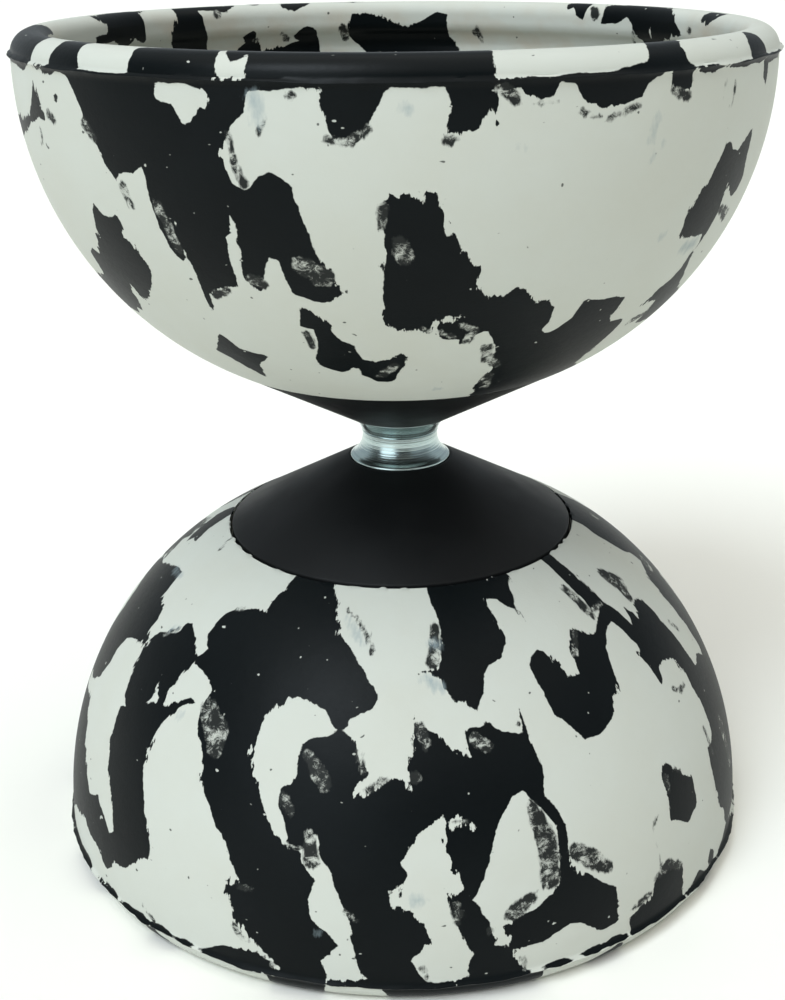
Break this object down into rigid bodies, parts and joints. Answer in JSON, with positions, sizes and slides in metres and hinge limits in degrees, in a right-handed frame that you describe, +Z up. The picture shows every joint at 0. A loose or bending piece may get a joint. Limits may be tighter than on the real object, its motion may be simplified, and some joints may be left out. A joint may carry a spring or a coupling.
{
  "type": "diabolo",
  "caption": "Juggling diabolo: two deep marbled rubber cups, base to base, on black hub cones, clamped to a turned steel axle with a concave string waist.",
  "frame": {"origin": "on the axis, at the plane that the lower rim rests on", "axes": "+Z up along the axle's axis, which is the axis of symmetry; X and Y are any two directions across it"},
  "size_m": [0.1258, 0.1258, 0.1444],
  "materials": {
    "cup_rubber": "satin vulcanised rubber, marbled black and off-white",
    "hub_nylon": "fine matt moulded nylon",
    "plate_nylon": "matt moulded nylon",
    "axle_steel": "turned, with fine tool rings",
    "zinc_steel": "bright zinc plated",
    "spring_steel": "dull zinc plated spring steel"
  },
  "bodies": {
    "root": {"axle": "axle_steel", "hub_cone_upper": "hub_nylon", "hub_cone_lower": "hub_nylon", "cup_upper": "cup_rubber", "cup_lower": "cup_rubber", "clamp_plate_upper": "plate_nylon", "clamp_plate_lower": "plate_nylon", "flat_washer_upper": "zinc_steel", "flat_washer_lower": "zinc_steel", "lock_washer_upper": "spring_steel", "lock_washer_lower": "spring_steel", "axle_screw_upper": "zinc_steel", "axle_screw_lower": "zinc_steel"}
  },
  "joints": []
}
